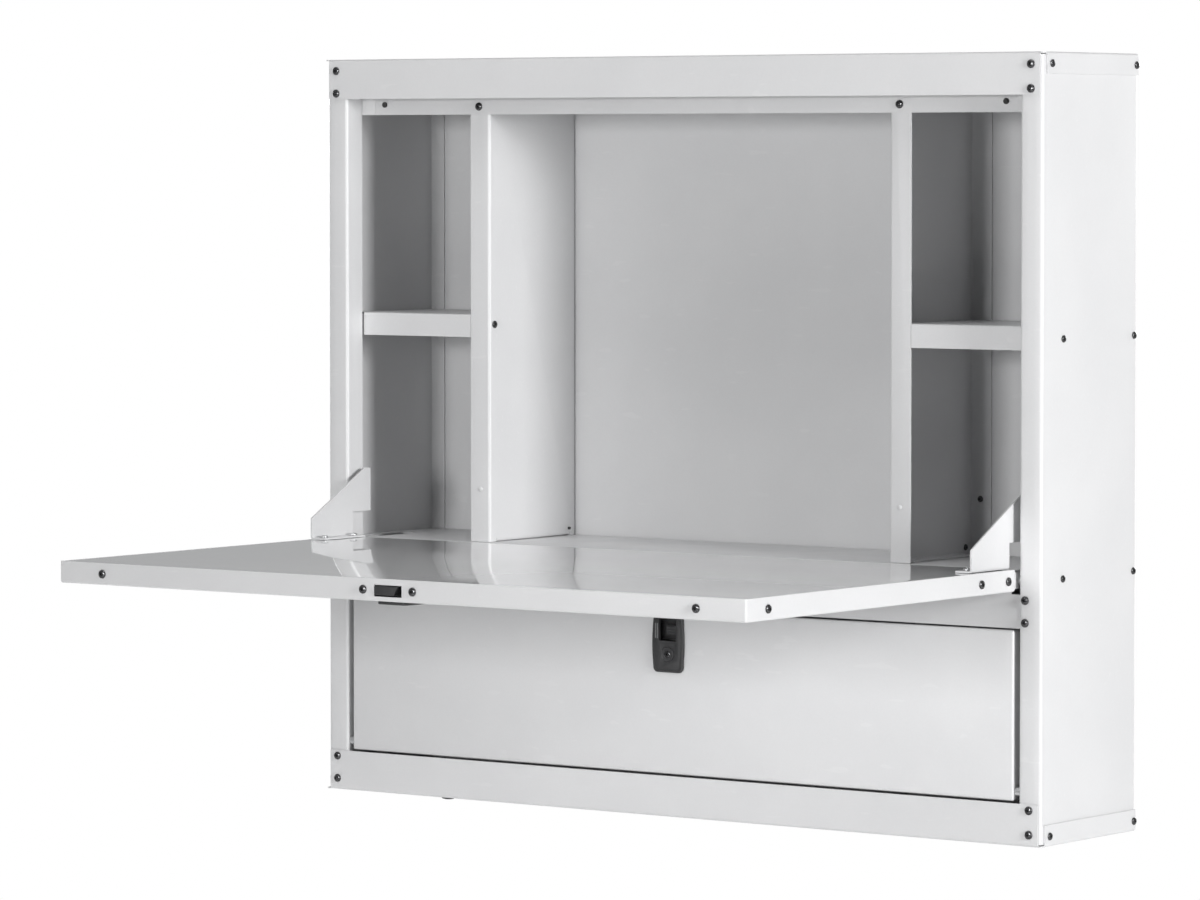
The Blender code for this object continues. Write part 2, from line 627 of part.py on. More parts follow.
def make_hinge_arm(side, sign):
    """A flat arm inside the flap's side that carries it on its pivot pin."""
    y, z = FLAP_PIVOT.y, FLAP_PIVOT.z
    angles = [math.radians(a) for a in range(-90, 91, 15)]
    outline = [(y + ARM_RADIUS * math.cos(a), z + ARM_RADIUS * math.sin(a)) for a in angles]
    outline += [(y - ARM_LENGTH, z + ARM_RADIUS), (y - ARM_LENGTH, z - ARM_RADIUS)]
    middle = sign * (ARM_FACE - ARM_SHEET / 2)
    mesh = plate([(middle, *point) for point in outline], (sign, 0, 0))
    part = add_part("hinge_arm_" + side, mesh, flap, PAINT)
    thicken(part, ARM_SHEET, 0)
    part.bore((middle, y, z), (1, 0, 0), PIN_DIAMETER + 2 * CLEAR)


def make_stay(side, sign):
    """A stay bracket that stands on the flap; its rear tab hooks behind the post and stops it."""
    middle = STAY_SHEET / 2
    base = FLAP_TOP + CLEAR + middle
    tab_back = POST_RETURN + 2 * CLEAR + middle
    plane = sign * STAY_PLANE
    outline = [(STAY_FRONT, base), (STAY_FRONT, FLAP_TOP + STAY_FRONT_HEIGHT),
               (STAY_KNEE, FLAP_TOP + STAY_HEIGHT), (tab_back, FLAP_TOP + STAY_HEIGHT),
               (tab_back, FLAP_TOP + STAY_TAB_LOW), (STAY_HEEL, FLAP_TOP + STAY_TAB_LOW),
               (STAY_HEEL, base)]
    mesh = plate([(plane, *point) for point in outline], (sign, 0, 0))
    foot = sorted((STAY_FRONT, STAY_HEEL))
    fold(mesh, (plane, foot[0], base), (plane, foot[1], base), (-sign * STAY_FOOT, 0, 0))
    reach = POST_INNER + SHEET + STAY_HOOK - STAY_PLANE
    fold(mesh, (plane, tab_back, FLAP_TOP + STAY_TAB_LOW), (plane, tab_back, FLAP_TOP + STAY_HEIGHT),
         (sign * reach, 0, 0))
    orient(mesh, (sign, 0, 0))
    bend_sheet(add_part("stay_bracket_" + side, mesh, flap, PAINT), SMALL_BEND, STAY_SHEET, 0)


def make_pin(name, body, pivot, sign, inner_face):
    """A pivot pin with a collar that keeps its leaf off the post."""
    collar = (POST_INNER - CLEAR) - (inner_face + CLEAR)
    pin = PIN_DIAMETER / 2
    outline = [(0, collar + PIN_OUTER), (pin, collar + PIN_OUTER), (pin, collar),
               (COLLAR_DIAMETER / 2, collar), (COLLAR_DIAMETER / 2, 0), (pin, 0),
               (pin, -PIN_INNER), (0, -PIN_INNER)]
    at = (sign * (inner_face + CLEAR), pivot.y, pivot.z)
    turned(name, body, outline, at, (sign, 0, 0), (BARE_STEEL, 0.3, 1.0))


def make_door():
    """The lower door: an outer pan and the liner that closes its back."""
    mesh = open_box((-DOOR_HALF, 0, DOOR_LOW), (DOOR_HALF, DOOR_THICKNESS, DOOR_HIGH), (0, 1, 0))
    orient(mesh, (0, -1, 0))
    pan = add_part("door_pan", mesh, door, PAINT)
    bend_sheet(pan, PAN_BEND)
    for sign in (-1, 1):
        pan.bore((sign * DOOR_HALF, DOOR_PIVOT.y, DOOR_PIVOT.z), (1, 0, 0), PIN_DIAMETER + 2 * CLEAR)
    inset = SHEET + CLEAR
    low = (inset - DOOR_HALF, DOOR_THICKNESS - LINER_FLANGE, DOOR_LOW + inset)
    high = (DOOR_HALF - inset, DOOR_THICKNESS, DOOR_HIGH - inset)
    mesh = open_box(low, high, (0, -1, 0))
    orient(mesh, (0, 1, 0))
    bend_sheet(add_part("door_liner", mesh, door, PAINT), SMALL_BEND)


def make_latch(prefix, leaf, at, turn):
    """A flush latch in a leaf's face, with a sprung bolt through its edge and a key cylinder."""
    frame = Body(prefix + "_latch_frame", leaf, at, turn)
    bolt_body = Body(prefix + "_bolt_slide", frame)
    key_at = (0, -KEY_FROM_EDGE, 0)
    key_body = Body(prefix + "_key_axis", frame, key_at, offset=key_at)
    plastic = (BLACK_PLASTIC, 0.4, 0.0)
    half = LATCH_WIDTH / 2
    top = -LATCH_FROM_EDGE
    foot = top - LATCH_LENGTH
    pocket_top = -POCKET_FROM_EDGE
    pocket_foot = pocket_top - POCKET_LENGTH
    bolt_far = -BOLT_DEPTH - BOLT_THICKNESS
    barrel_top = pocket_foot - 2 * CLEAR
    barrel_foot = foot + BARREL_FROM_FOOT
    barrel = half - BARREL_MARGIN
    pocket = half - POCKET_MARGIN
    bolt_half = half - BOLT_MARGIN

    mesh = bmesh.new()
    add_box(mesh, (-half, foot, CLEAR), (half, top, LATCH_PROUD))
    upright = [e for e in mesh.edges if abs(e.verts[0].co.z - e.verts[1].co.z) > LATCH_PROUD / 2]
    bmesh.ops.bevel(mesh, geom=upright, affect="EDGES", offset=LATCH_RADIUS, segments=5, profile=0.5)
    housing = add_part(prefix + "_latch_housing", mesh, frame, plastic)
    extra = bmesh.new()
    add_box(extra, (-barrel, barrel_foot, -BARREL_DEPTH), (barrel, barrel_top, CLEAR * 2))
    add_box(extra, (-half + SHEET, barrel_foot, -BARREL_DEPTH),
            (-barrel + SHEET, barrel_foot + SPRING_LEDGE, CLEAR * 2))
    bmesh.ops.recalc_face_normals(extra, faces=extra.faces)
    combine(housing.obj, mesh_object(prefix + "_latch_barrel", extra, frame, cutters), "UNION")
    housing.cut_box((-pocket, pocket_foot, -LATCH_PROUD), (pocket, pocket_top, half))
    housing.bore(key_at, UP, KEY_DIAMETER + 2 * CLEAR, 4 * BARREL_DEPTH)

    mesh = bmesh.new()
    bolt_foot = pocket_foot + 2 * CLEAR
    add_box(mesh, (-bolt_half, bolt_foot, bolt_far), (bolt_half, BOLT_PROUD, -BOLT_DEPTH))
    bolt = add_part(prefix + "_latch_bolt", mesh, bolt_body, plastic)
    grip = bmesh.new()
    grip_half = pocket - 2 * CLEAR
    grip_top = pocket_top - BOLT_TRAVEL - 2 * CLEAR
    add_box(grip, (-grip_half, bolt_foot, bolt_far / 2), (grip_half, grip_top, LATCH_PROUD - SHEET))
    combine(bolt.obj, mesh_object(prefix + "_latch_grip", grip, bolt_body, cutters), "UNION")

    radius = KEY_DIAMETER / 2
    outline = [(0, LATCH_PROUD + 2 * CLEAR), (radius - CLEAR, LATCH_PROUD + 2 * CLEAR),
               (radius, LATCH_PROUD + CLEAR), (radius, -BARREL_DEPTH - CLEAR), (0, -BARREL_DEPTH - CLEAR)]
    turned(prefix + "_key_cylinder", key_body, outline, key_at, UP, (BLACK_PLASTIC, 0.3, 0.0))
    add_spring(prefix + "_latch_spring", frame, -half + SHEET + SPRING_DIAMETER / 2,
               (barrel_foot + SPRING_LEDGE + CLEAR, bolt_foot - CLEAR), (bolt_far - BOLT_DEPTH) / 2)

    openings = bmesh.new()
    add_box(openings, (-half + SHEET - CLEAR, barrel_foot - 2 * CLEAR, -SHEET - CLEAR),
            (half - SHEET, pocket_top, SHEET))
    window = bolt_half + 2 * CLEAR
    add_box(openings, (-window, -2 * SHEET, bolt_far - 2 * CLEAR), (window, SHEET, -BOLT_DEPTH + SHEET))
    combine(parts[prefix + "_pan"].obj,
            mesh_object(prefix + "_latch_openings", openings, frame, cutters))


def fasten_side(side, sign):
    """Every screw of one side."""
    x = sign * (CASE_WIDTH / 2 - APRON_SCREW_INSET)
    for place, rise in zip(("outer", "inner"), APRON_SCREWS):
        fasten(f"top_cap_screw_{side}_{place}", cabinet, (x, APRON_FACE, CASE_HEIGHT - rise),
               (0, -1, 0), ("top_cap", "side_panel_" + side))
        fasten(f"bottom_cap_screw_{side}_{place}", cabinet, (x, APRON_FACE, rise),
               (0, -1, 0), ("bottom_cap", "side_panel_" + side))
    x = sign * (POST_INNER + TAB_SCREW_INSET)
    for place, drop in zip(("upper", "lower"), TAB_SCREWS):
        fasten(f"floor_screw_{side}_{place}", cabinet, (x, 0, FLOOR_HEIGHT - drop),
               (0, -1, 0), ("mid_floor", "side_panel_" + side))
    fasten("divider_screw_" + side, cabinet,
           (sign * (DIVIDER_SPACING + DIVIDER_FLANGE) / 2, RAIL_SET_BACK, RAIL_LOW + RAIL_BELOW_APRON / 2),
           (0, -1, 0), ("top_rail", "divider_" + side))
    for place, y in zip(("front", "rear"), ARM_SCREWS):
        fasten(f"arm_screw_{side}_{place}", flap, (sign * FLAP_HALF, y, FLAP_PIVOT.z),
               (sign, 0, 0), ("flap_pan", "hinge_arm_" + side))
        fasten(f"stay_screw_{side}_{place}", flap,
               (sign * (STAY_PLANE - STAY_FOOT / 2 - STAY_SHEET / 2), y, FLAP_TOP + CLEAR + STAY_SHEET),
               UP, ("stay_bracket_" + side, "work_surface"), BRIGHT_SCREW)


def add_spring(name, body, x, y_range, z):
    """A compression spring along Y."""
    steps = SPRING_TURNS * 10
    radius = (SPRING_DIAMETER - SPRING_WIRE) / 2
    run = y_range[1] - y_range[0] - SPRING_WIRE
    data = bpy.data.curves.new(name, "CURVE")
    data.dimensions = "3D"
    data.bevel_depth = SPRING_WIRE / 2
    data.bevel_resolution = 1
    data.use_fill_caps = True
    spline = data.splines.new("POLY")
    spline.points.add(steps)
    for index, point in enumerate(spline.points):
        angle = 2 * math.pi * SPRING_TURNS * index / steps
        y = y_range[0] + SPRING_WIRE / 2 + run * index / steps
        point.co = (x + radius * math.cos(angle), y, z + radius * math.sin(angle), 1)
    obj = bpy.data.objects.new(name, data)
    obj.parent = body.empty
    model.objects.link(obj)
    data.materials.append(make_material(name, BARE_STEEL, 0.3, 1.0))


def start_scene():
    for obj in list(bpy.data.objects):
        bpy.data.objects.remove(obj)
    made = []
    for name in ("secretary_desk", "cutters"):
        collection = bpy.data.collections.new(name)
        bpy.context.scene.collection.children.link(collection)
        made.append(collection)
    return made


model, cutters = start_scene()
parts = {}
screw_data = outline_data("pan_head_screw", screw_outline())
cabinet = Body("desk_frame", at=(0, -CASE_DEPTH, -CASE_HEIGHT / 2))
flap = Body("flap_axis", cabinet, FLAP_PIVOT, offset=FLAP_PIVOT)
door = Body("door_axis", cabinet, DOOR_PIVOT, offset=DOOR_PIVOT)

make_back_panel()
make_cap("top_cap", True)
make_cap("bottom_cap", False)
make_floor()
make_top_rail()
make_plug()
make_flap_pan()
make_work_surface()
make_door()
make_latch("flap", flap, (0, FLAP_FRONT, FLAP_BOTTOM), (math.pi, 0, 0))
make_latch("door", door, (0, 0, DOOR_HIGH), (math.pi / 2, 0, 0))
for side, sign in SIDES:
    make_side_panel(side, sign)
    make_divider(side, sign)
    make_shelf(side, sign)
    make_bumper(side, sign)
    make_hinge_arm(side, sign)
    make_stay(side, sign)
    make_pin("flap_pivot_pin_" + side, flap, FLAP_PIVOT, sign, ARM_FACE)
    make_pin("door_pivot_pin_" + side, door, DOOR_PIVOT, sign, DOOR_HALF)
    fasten_side(side, sign)
for part in parts.values():
    part.finish()
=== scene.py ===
"""Looks of the wall-hung secretary desk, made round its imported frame.

Positions are in metres in the frame's own coordinates: X across the front, Y into the wall, Z up.
"""

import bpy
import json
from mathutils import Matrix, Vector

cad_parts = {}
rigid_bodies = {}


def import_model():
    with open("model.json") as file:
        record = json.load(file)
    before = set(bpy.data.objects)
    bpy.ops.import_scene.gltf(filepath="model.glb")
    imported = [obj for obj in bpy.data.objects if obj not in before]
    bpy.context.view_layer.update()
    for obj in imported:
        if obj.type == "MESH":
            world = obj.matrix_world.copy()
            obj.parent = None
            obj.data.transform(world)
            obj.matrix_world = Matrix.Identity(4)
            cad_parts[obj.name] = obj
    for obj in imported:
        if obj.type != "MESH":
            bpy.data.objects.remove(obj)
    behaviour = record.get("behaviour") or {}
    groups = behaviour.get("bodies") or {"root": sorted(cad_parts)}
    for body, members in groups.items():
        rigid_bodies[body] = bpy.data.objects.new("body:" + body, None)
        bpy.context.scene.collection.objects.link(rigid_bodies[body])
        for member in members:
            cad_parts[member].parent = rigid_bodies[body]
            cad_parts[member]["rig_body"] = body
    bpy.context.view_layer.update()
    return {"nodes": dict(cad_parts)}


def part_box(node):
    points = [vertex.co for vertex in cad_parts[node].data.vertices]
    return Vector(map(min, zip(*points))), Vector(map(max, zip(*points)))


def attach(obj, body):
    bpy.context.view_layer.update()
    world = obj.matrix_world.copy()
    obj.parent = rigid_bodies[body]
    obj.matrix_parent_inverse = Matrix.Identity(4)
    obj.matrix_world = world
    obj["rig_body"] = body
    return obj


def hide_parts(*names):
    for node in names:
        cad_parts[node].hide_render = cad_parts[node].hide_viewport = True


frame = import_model()

import itertools
import json
import math

import bmesh
import bpy
from mathutils import Matrix, Vector

# Camera and studio
CAMERA_AT = (2.843, -4.113, 0.244)
CAMERA_YAW = 36.17
CAMERA_PITCH = -2.54
CAMERA_LENS = 171.7
CAMERA_SHIFT = (-0.015, -0.0375)
FLOOR_LEVEL = -1.05
FLOOR_RADIUS = 3.6
AMBIENT = 0.04              # surround as the diffuse surfaces see it
MIRRORED = 0.40             # and as the glossy ones do

# Screws
HEAD_RADIUS = 0.00365
HEAD_HEIGHT = 0.0021
SHANK_RADIUS = 0.00172
SHANK_LENGTH = 0.0040
CROSS_LENGTH = 0.0040
CROSS_WIDTH = 0.00095
CROSS_DEPTH = 0.0013
RIVET_RADIUS = 0.0022
SEAT_GAP = 0.00005          # under a screw's head
HEAD_ABOVE = 0.0022         # top of a packed screw's head above the face it sits on
SCREW_TURN = 0.7            # from one screw's cross to the next, in radians

# Scales of the smaller screws
APRON_HEAD = 0.9
PANEL_HEAD = 0.85
DIVIDER_HEAD = 0.75

# Where the small screws stand, in from the edge or level that is named
TOP_APRON_DROP = 0.0095     # below the top
BOTTOM_APRON_RISE = 0.0085  # above the foot
APRON_FRONT = 0.0130
APRON_REAR = 0.0058
PANEL_FLOOR_DROP = 0.0070
PANEL_SHELF_DROP = 0.0100
PANEL_FRONT = 0.0325
PANEL_REAR = 0.0045
FLAP_SCREW_OUT = 0.3025     # from the middle of the desk
FLAP_LATCH_SCREW_OUT = 0.0252
FLAP_CORNER_FRONT = 0.0290
WEB_FRONT = 0.0065
WEB_SHELF_DROP = 0.0085
RIVET_RISE = 0.0465         # above the middle floor, like the next two
DIVIDER_REAR_RISE = 0.0475
DIVIDER_FOOT_RISE = 0.0065
DIVIDER_FOOT_REAR = 0.0105
DIVIDER_SHEET = 0.0012

# Tabs over the rail's ends
RAIL_TAB_END = 0.0015
RAIL_TAB_WIDTH = 0.0135
RAIL_TAB_SHEET = 0.0005
RAIL_TAB_RISE = 0.0012
RAIL_TAB_DROP = 0.0030

# Latch housings, in the frame of their leaf: X across, Y out to its free edge, Z out of its face
LATCH_BULGE = 0.0012
LATCH_RIM = 0.0021
COVER_RADIUS = 0.0042       # of the cover's corners
COVER_GAP = 0.0001          # cover's foot above the leaf's face
BARREL_HALF = 0.0098        # thin plate that fills the cover round the key's barrel
BARREL_FOOT = 0.0032
BARREL_FLOOR = 0.0002
BARREL_TOP = 0.0012
POCKET_SIDE = 0.0063
POCKET_END = 0.0030
POCKET_DEPTH = 0.0030       # below the leaf's face
PLAY = 0.0006
GROOVE_WIDTH = 0.0005
GROOVE_DEPTH = 0.0003
GROOVE_RADIUS = 0.0030
GROOVE_INNER_RADIUS = 0.0026
KEY_HOLE_PLAY = 0.0002
THROUGH = 0.02              # cutting tools reach this far out
RIB_OFFSETS = (0.0034, 0.0014)
RIB_HALF = 0.0005
RIB_FOOT = 0.0020
RIB_TOP = 0.0040
RIB_SUNK = 0.0006
RIB_PROUD = 0.0002
SMALL_EDGE = 0.00015        # edge radii
COVER_EDGE = 0.00022
SLIDER_EDGE = 0.00025
BOLT_DEPTH = 0.0051         # bolt behind the leaf's face
TONGUE_LENGTH = 0.0110
TONGUE_SHORT = 0.0030       # tongue narrower than its slide
TONGUE_SLOPE = 0.0040
TONGUE_CHAMFER = 0.0013
GRIP_LEFT = 0.0020          # grip's left side from the middle
GRIP_RAISED = 0.0050        # grip above the foot of its slide
GRIP_END = 0.0056           # below the pocket's top
GRIP_SUNK = 0.0012          # below the cover's face
GRIP_ROOT = 0.0020          # into the bolt
RIDGE_COUNT = 3
RIDGE_HALF = 0.0004
RIDGE_IN = 0.0010
RIDGE_ROOT = 0.0005
RIDGE_PROUD = 0.0006
KEY_DISC = 0.0029
DOME_HEIGHT = 0.0007

FRONT = Vector((0, -1, 0))
UP = Vector((0, 0, 1))
SIDES = (("left", -1), ("right", 1))


class Finish:
    """A Principled material, with helpers that put procedural detail on its inputs."""

    def __init__(self, name, colour, roughness, **constants):
        self.material = bpy.data.materials.new(name)
        self.material.use_nodes = True
        self.tree = self.material.node_tree
        self.shader = self.tree.nodes["Principled BSDF"]
        self.set("Base Color", (*colour, 1))
        self.set("Roughness", roughness)
        for key, value in constants.items():
            self.set(key.replace("_", " "), value)
        self.place = self.add("ShaderNodeTexCoord").outputs["Object"]

    def set(self, socket, value):
        self.shader.inputs[socket].default_value = value

    def add(self, kind, **inputs):
        node = self.tree.nodes.new(kind)
        for key, value in inputs.items():
            node.inputs[key].default_value = value
        return node

    def link(self, source, target):
        self.tree.links.new(source, target)

    def noise(self, size, detail=2.0, stretch=(1, 1, 1)):
        """Noise whose blotches are about size metres across, longer where stretch is under 1."""
        mapping = self.add("ShaderNodeMapping", Scale=stretch)
        self.link(self.place, mapping.inputs["Vector"])
        node = self.add("ShaderNodeTexNoise", Scale=1 / size, Detail=detail)
        self.link(mapping.outputs["Vector"], node.inputs["Vector"])
        return node.outputs["Fac"]

    def scratches(self, size, stretch):
        """Thin streaks, as a mask of 0 to 1."""
        return self.ramp(self.noise(size, 1.0, stretch), 0.70, 0.74, 0, 1)

    def ramp(self, value, low, high, to_low, to_high):
        node = self.add("ShaderNodeMapRange")
        keys = ("From Min", "From Max", "To Min", "To Max")
        for key, number in zip(keys, (low, high, to_low, to_high)):
            node.inputs[key].default_value = number
        self.link(value, node.inputs["Value"])
        return node.outputs["Result"]

    def combine(self, operation, first, second):
        node = self.tree.nodes.new("ShaderNodeMath")
        node.operation = operation
        for index, value in enumerate((first, second)):
            if isinstance(value, (int, float)):
                node.inputs[index].default_value = value
            else:
                self.link(value, node.inputs[index])
        return node.outputs["Value"]

    def colour_between(self, mask, dark, light):
        mix = self.tree.nodes.new("ShaderNodeMix")
        mix.data_type = "RGBA"
        mix.inputs["A"].default_value = (*dark, 1)
        mix.inputs["B"].default_value = (*light, 1)
        self.link(mask, mix.inputs["Factor"])
        self.link(mix.outputs["Result"], self.shader.inputs["Base Color"])

    def roughness_from(self, value):
        self.link(value, self.shader.inputs["Roughness"])

    def bump(self, height, distance, strength=1.0):
        previous = self.shader.inputs["Normal"].links
        node = self.add("ShaderNodeBump", Strength=strength, Distance=distance)
        if previous:
            self.link(previous[0].from_socket, node.inputs["Normal"])
        self.link(height, node.inputs["Height"])
        self.link(node.outputs["Normal"], self.shader.inputs["Normal"])


def powder_coat():
    """Satin light grey powder coat: fine orange peel, faint clouds and handling marks."""
    finish = Finish("powder_coat_paint", (0.62, 0.62, 0.63), 0.42,
                    Coat_Weight=0.15, Coat_Roughness=0.25)
    clouds = finish.noise(0.09, 3.0)
    specks = finish.noise(0.0016, 2.0)
    scuffs = finish.scratches(0.004, (0.15, 1, 0.6))
    tone = finish.combine("ADD", finish.ramp(clouds, 0.3, 0.7, 0, 0.7),
                          finish.ramp(specks, 0.3, 0.7, 0, 0.3))
    tone = finish.combine("ADD", tone, finish.combine("MULTIPLY", scuffs, 0.5))
    finish.colour_between(tone, (0.600, 0.602, 0.610), (0.640, 0.641, 0.647))
    smudges = finish.noise(0.035, 4.0, (1, 1, 0.4))
    finish.roughness_from(finish.combine("ADD", finish.ramp(smudges, 0.3, 0.75, 0.36, 0.50),
                                         finish.combine("MULTIPLY", scuffs, 0.08)))
    finish.bump(finish.noise(0.0022, 3.0), 0.00012, 0.35)
    finish.bump(finish.noise(0.16, 1.0), 0.0012, 0.25)
    return finish.material


def gloss_lacquer():
    """High-gloss light grey lacquer of the work surface, with fine wiping marks."""
    finish = Finish("gloss_lacquer", (0.72, 0.725, 0.73), 0.06,
                    IOR=1.6, Coat_Weight=1.0, Coat_Roughness=0.02)
    clouds = finish.noise(0.12, 2.0)
    finish.colour_between(clouds, (0.705, 0.71, 0.715), (0.735, 0.74, 0.745))
    wiped = finish.noise(0.02, 3.0, (0.25, 1, 1))
    marks = finish.scratches(0.0018, (0.03, 1, 1))
    rough = finish.combine("ADD", finish.ramp(wiped, 0.3, 0.8, 0.045, 0.10),
                           finish.combine("MULTIPLY", marks, 0.06))
    finish.roughness_from(rough)
    finish.bump(finish.noise(0.05, 1.0), 0.00025, 0.25)
    return finish.material


def black_plastic():
    """Moulded black plastic with a fine spark-eroded grain."""
    finish = Finish("black_plastic", (0.022, 0.022, 0.024), 0.4)
    grain = finish.noise(0.0004, 2.0)
    finish.colour_between(finish.noise(0.004, 3.0), (0.018, 0.018, 0.019), (0.032, 0.032, 0.034))
    finish.roughness_from(finish.ramp(finish.noise(0.003, 4.0), 0.3, 0.7, 0.32, 0.52))
    finish.bump(grain, 0.00006, 0.5)
    return finish.material


def black_zinc():
    """Black-zinc steel of the screws, a little worn in small random patches."""
    finish = Finish("black_zinc", (0.05, 0.05, 0.052), 0.2,
                    Metallic=0.9, Coat_Weight=0.6, Coat_Roughness=0.12)
    worn = finish.noise(0.0012, 4.0)
    finish.colour_between(finish.ramp(worn, 0.45, 0.75, 0, 1), (0.04, 0.04, 0.042), (0.15, 0.15, 0.155))
    finish.roughness_from(finish.ramp(worn, 0.3, 0.7, 0.14, 0.30))
    finish.bump(finish.noise(0.0005, 2.0), 0.00003, 0.4)
    return finish.material


def bright_zinc():
    """Bright zinc plate with drawn streaks and slight clouding."""
    finish = Finish("bright_zinc", (0.62, 0.62, 0.63), 0.3, Metallic=1.0)
    finish.colour_between(finish.noise(0.006, 4.0), (0.52, 0.53, 0.55), (0.68, 0.68, 0.67))
    finish.roughness_from(finish.ramp(finish.noise(0.003, 3.0, (0.1, 1, 1)), 0.3, 0.7, 0.22, 0.42))
    finish.bump(finish.noise(0.0008, 2.0, (0.1, 1, 1)), 0.00003, 0.4)
    return finish.material


def rib_highlight_plastic():
    """The greyer plastic on the raised ribs of a latch: black plastic lightened as a painted highlight
    for the light that the ribs catch.
    """
    # lighter grey base colour is a painted highlight on the ribs, not worn plastic
    finish = Finish("rib_highlight_black_plastic", (0.16, 0.16, 0.165), 0.3)
    finish.colour_between(finish.noise(0.002, 4.0), (0.11, 0.11, 0.115), (0.24, 0.24, 0.245))
    finish.roughness_from(finish.ramp(finish.noise(0.001, 3.0), 0.3, 0.7, 0.22, 0.42))
    finish.bump(finish.noise(0.0004, 2.0), 0.00004, 0.4)
    return finish.material


def rubber():
    """Matt black rubber."""
    finish = Finish("black_rubber", (0.028, 0.028, 0.028), 0.8)
    finish.colour_between(finish.noise(0.003, 4.0), (0.022, 0.022, 0.022), (0.04, 0.04, 0.039))
    finish.roughness_from(finish.ramp(finish.noise(0.002, 3.0), 0.3, 0.7, 0.7, 0.92))
    finish.bump(finish.noise(0.0006, 3.0), 0.00008, 0.5)
    return finish.material


def floor_paint():
    """Pale matt studio floor."""
    finish = Finish("studio_floor", (0.92, 0.92, 0.92), 0.7)
    finish.colour_between(finish.noise(0.5, 3.0), (0.91, 0.91, 0.91), (0.93, 0.93, 0.93))
    return finish.material


def smooth_by_angle(limit):
    """A node group that shades smooth every edge flatter than the limit."""
    group = bpy.data.node_groups.new("smooth_by_angle", "GeometryNodeTree")
    for way in ("INPUT", "OUTPUT"):
        group.interface.new_socket("Geometry", in_out=way, socket_type="NodeSocketGeometry")
    nodes, links = group.nodes, group.links
    start = nodes.new("NodeGroupInput")
    end = nodes.new("NodeGroupOutput")
    faces = nodes.new("GeometryNodeSetShadeSmooth")
    edges = nodes.new("GeometryNodeSetShadeSmooth")
    edges.domain = "EDGE"
    angle = nodes.new("GeometryNodeInputMeshEdgeAngle")
    test = nodes.new("FunctionNodeCompare")
    test.operation = "LESS_THAN"
    test.inputs["B"].default_value = limit
    links.new(start.outputs[0], faces.inputs["Geometry"])
    links.new(faces.outputs[0], edges.inputs["Geometry"])
    links.new(angle.outputs["Unsigned Angle"], test.inputs["A"])
    links.new(test.outputs["Result"], edges.inputs["Shade Smooth"])
    links.new(edges.outputs[0], end.inputs[0])
    return group


def finish_node(name, material):
    """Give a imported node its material, one welded surface and smooth shading on its folds."""
    node = frame["nodes"][name]
    node.material_slots[0].material = material
    custom = node.data.attributes.get("custom_normal")
    if custom:
        node.data.attributes.remove(custom)
    weld = node.modifiers.new("weld", "WELD")
    weld.merge_threshold = 0.00001
    smooth = node.modifiers.new("smooth", "NODES")
    smooth.node_group = smooth_group


def mesh_object(name, mesh, material):
    data = bpy.data.meshes.new(name)
    mesh.to_mesh(data)
    mesh.free()
    obj = bpy.data.objects.new(name, data)
    obj.data.materials.append(material)
    bpy.context.scene.collection.objects.link(obj)
    return obj


def shade(obj, degrees=35):
    obj.data.shade_smooth()
    obj.data.set_sharp_from_angle(angle=math.radians(degrees))


def applied(obj):
    """The object with its modifiers applied to its mesh."""
    depsgraph = bpy.context.evaluated_depsgraph_get()
    data = bpy.data.meshes.new_from_object(obj.evaluated_get(depsgraph))
    obj.modifiers.clear()
    obj.data = data
    return obj


def boolean(obj, tool, operation="DIFFERENCE"):
    """Cut or join a tool into an object and drop the tool."""
    modifier = obj.modifiers.new("cut", "BOOLEAN")
    modifier.operation = operation
    modifier.solver = "EXACT"
    modifier.use_self = True
    modifier.object = tool
    applied(obj)
    bpy.data.objects.remove(tool)


def bevel(obj, width, segments=3, degrees=40):
    modifier = obj.modifiers.new("edges", "BEVEL")
    modifier.width = width
    modifier.segments = segments
    modifier.limit_method = "ANGLE"
    modifier.angle_limit = math.radians(degrees)
    return applied(obj)


def add_box(mesh, low, high):
    low, high = Vector(low), Vector(high)
    place = Matrix.Translation((low + high) / 2) @ Matrix.Diagonal((*(high - low), 1))
    return bmesh.ops.create_cube(mesh, size=1, matrix=place)["verts"]


def turned(outline, steps=32):
    """A closed turned mesh from an outline of radius and height that starts and ends on the axis."""
    mesh = bmesh.new()
    verts = [mesh.verts.new((radius, 0, height)) for radius, height in outline]
    edges = [mesh.edges.new(pair) for pair in zip(verts, verts[1:])]
    bmesh.ops.spin(mesh, geom=verts + edges, cent=(0, 0, 0), axis=(0, 0, 1), dvec=(0, 0, 0),
                   angle=2 * math.pi, steps=steps, use_merge=True)
    bmesh.ops.remove_doubles(mesh, verts=mesh.verts, dist=1e-6)
    bmesh.ops.recalc_face_normals(mesh, faces=mesh.faces)
    return mesh


def arc(centre, radius, start, end, steps):
    """Points of an arc, from one angle to another in degrees."""
    angles = [math.radians(start + (end - start) * i / steps) for i in range(steps + 1)]
    return [(centre[0] + radius * math.cos(a), centre[1] + radius * math.sin(a)) for a in angles]


